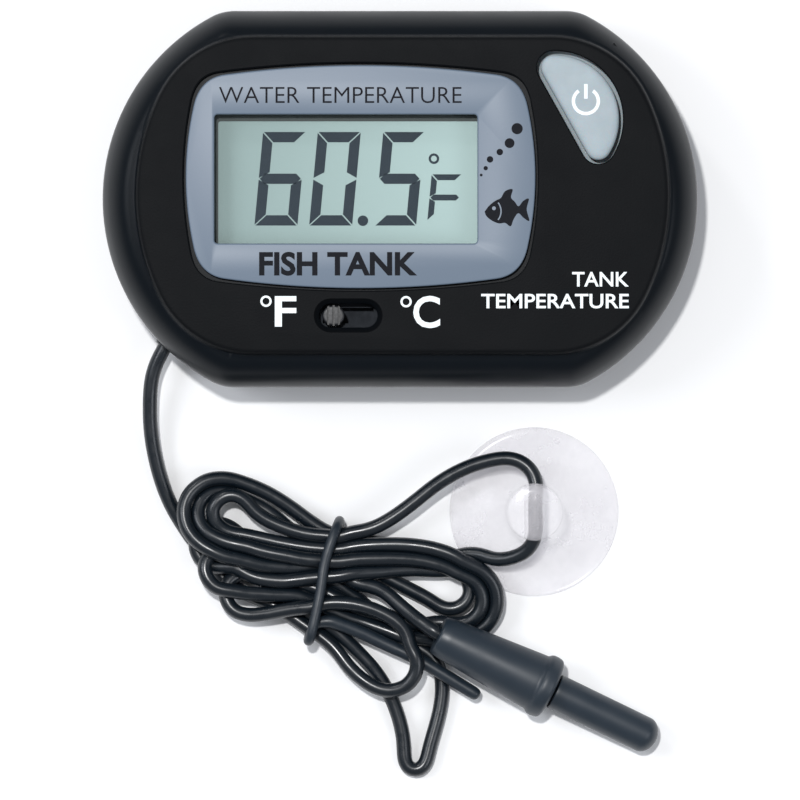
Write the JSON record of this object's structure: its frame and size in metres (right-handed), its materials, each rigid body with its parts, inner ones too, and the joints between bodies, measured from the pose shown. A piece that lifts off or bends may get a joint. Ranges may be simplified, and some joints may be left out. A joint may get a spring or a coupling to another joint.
{
  "type": "digital aquarium thermometer",
  "caption": "Oval digital aquarium thermometer with a display, a power key and a unit switch, a tied sensor cord, a suction cup and a temperature probe.",
  "frame": {"origin": "centre of the case's back face, which lies on the surface", "axes": "+X along the case's length towards the power key, +Y to the case's top edge, +Z out of the display"},
  "size_m": [0.061, 0.079, 0.0155],
  "materials": {
    "case_plastic": "fine matt moulded texture on the face, satin on the edge",
    "label_film": "printed satin film on a plastic plate",
    "clear_acrylic": "clear polished acrylic",
    "lcd_glass": "polished display glass with a polariser",
    "lcd_reflector_foil": "pale satin reflector",
    "silicone_key": "matt silicone rubber",
    "carbon_rubber": "matt conductive rubber",
    "black_abs": "satin black moulding",
    "circuit_board": "green solder mask",
    "black_epoxy": "glossy poured epoxy",
    "nickel_steel": "bright nickel plate",
    "gold_plate": "thin gold plate",
    "ceramic": "matt fired ceramic",
    "cord_pvc": "glossy soft PVC",
    "probe_abs": "satin moulded plastic",
    "clear_vinyl": "clear glossy soft vinyl",
    "copper_wire": "tinned copper"
  },
  "bodies": {
    "root": {"back_shell": "case_plastic", "front_shell": "case_plastic", "label_panel": "label_film", "display_window": "clear_acrylic", "lcd_front_glass": "lcd_glass", "lcd_back_glass": "lcd_glass", "lcd_reflector": "lcd_reflector_foil", "zebra_strip_upper": "carbon_rubber", "zebra_strip_lower": "carbon_rubber", "lcd_holder": "black_abs", "main_board": "circuit_board", "chip_blob": "black_epoxy", "watch_crystal": "nickel_steel", "capacitor_a": "ceramic", "capacitor_b": "ceramic", "trim_resistor": "black_epoxy", "button_contact_pad": "gold_plate", "unit_switch_body": "nickel_steel", "battery_cell_lower": "nickel_steel", "battery_cell_upper": "nickel_steel", "battery_contact_plus": "nickel_steel", "battery_contact_minus": "nickel_steel", "case_screw_1": "nickel_steel", "case_screw_2": "nickel_steel", "case_screw_3": "nickel_steel", "case_screw_4": "nickel_steel", "board_screw_1": "nickel_steel", "board_screw_2": "nickel_steel", "board_screw_3": "nickel_steel", "cord_gland": "cord_pvc", "sensor_wire_a": "cord_pvc", "sensor_wire_b": "cord_pvc", "probe_grip": "probe_abs", "sensor_tube": "probe_abs", "thermistor_bead": "black_epoxy", "thermistor_lead_a": "copper_wire", "thermistor_lead_b": "copper_wire", "cord_lead": "cord_pvc", "cord_cup_loop": "cord_pvc", "cord_small_loop": "cord_pvc", "cord_long_loop": "cord_pvc", "cord_probe_lead": "cord_pvc", "cord_tie": "cord_pvc", "cord_bundle": "cord_pvc"},
    "power_key": {"power_button": "silicone_key", "button_contact_pill": "carbon_rubber"},
    "unit_knob": {"unit_switch_knob": "black_abs"},
    "cover": {"battery_cover": "case_plastic"},
    "cup": {"suction_cup": "clear_vinyl"}
  },
  "joints": [
    {"name": "power_button_press", "type": "slide", "parent": "root", "child": "power_key", "axis": [0, 0, -1], "range_m": [0, 0.0008], "stiffness_N_per_m": 1800},
    {"name": "unit_switch_slide", "type": "slide", "parent": "root", "child": "unit_knob", "axis": [1, 0, 0], "range_m": [0, 0.003]},
    {"name": "battery_cover_turn", "type": "hinge", "parent": "root", "child": "cover", "pos_m": [0.0169, -0.0073, 0.001], "axis": [0, 0, 1], "range_deg": [0, 60]},
    {"name": "suction_cup_slide", "type": "slide", "parent": "root", "child": "cup", "axis": [0, 1, 0], "range_m": [-0.0002, 0.0008]}
  ]
}
